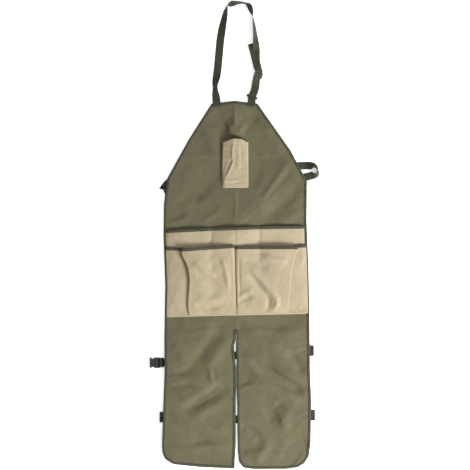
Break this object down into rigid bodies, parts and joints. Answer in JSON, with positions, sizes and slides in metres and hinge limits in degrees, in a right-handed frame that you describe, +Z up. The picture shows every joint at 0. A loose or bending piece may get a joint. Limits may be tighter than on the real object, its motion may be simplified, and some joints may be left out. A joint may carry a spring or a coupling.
{
  "type": "gardening apron",
  "caption": "Long split-leg work apron with bib, tan tool pockets, taped edges and webbing straps for neck, waist and legs, lying on its back.",
  "frame": {"origin": "middle of the footprint, on the surface the apron lies on", "axes": "+Y from the hem towards the neck, +X to the viewer's right looking down at the front, +Z up out of the front"},
  "size_m": [0.5416, 1.4958, 0.0324],
  "materials": {
    "cloth_olive": "olive coated polyester oxford, soft wrinkles",
    "tape_olive": "dark olive edge tape, ribbed",
    "cloth_tan": "tan polyester oxford",
    "webbing": "dark olive polypropylene webbing",
    "plastic_black": "black moulded nylon"
  },
  "bodies": {
    "root": {"body_panel": "cloth_olive", "edge_binding": "tape_olive", "upper_pocket_binding": "tape_olive", "lower_pocket_binding_left": "tape_olive", "lower_pocket_binding_right": "tape_olive", "upper_pocket": "cloth_tan", "lower_pocket_left": "cloth_tan", "lower_pocket_right": "cloth_tan", "chest_pocket": "cloth_tan", "neck_strap": "webbing", "neck_tab": "webbing", "waist_strap_left": "webbing", "waist_strap_right": "webbing", "thigh_strap_left": "webbing", "thigh_strap_right": "webbing", "calf_strap_left": "webbing", "calf_strap_right": "webbing", "thigh_tab_left": "webbing", "neck_slider": "plastic_black", "neck_ring": "plastic_black", "waist_buckle": "plastic_black", "thigh_buckle_left": "plastic_black", "thigh_clip_left": "plastic_black", "thigh_buckle_right": "plastic_black", "calf_buckle_left": "plastic_black", "calf_buckle_right": "plastic_black"}
  },
  "joints": []
}
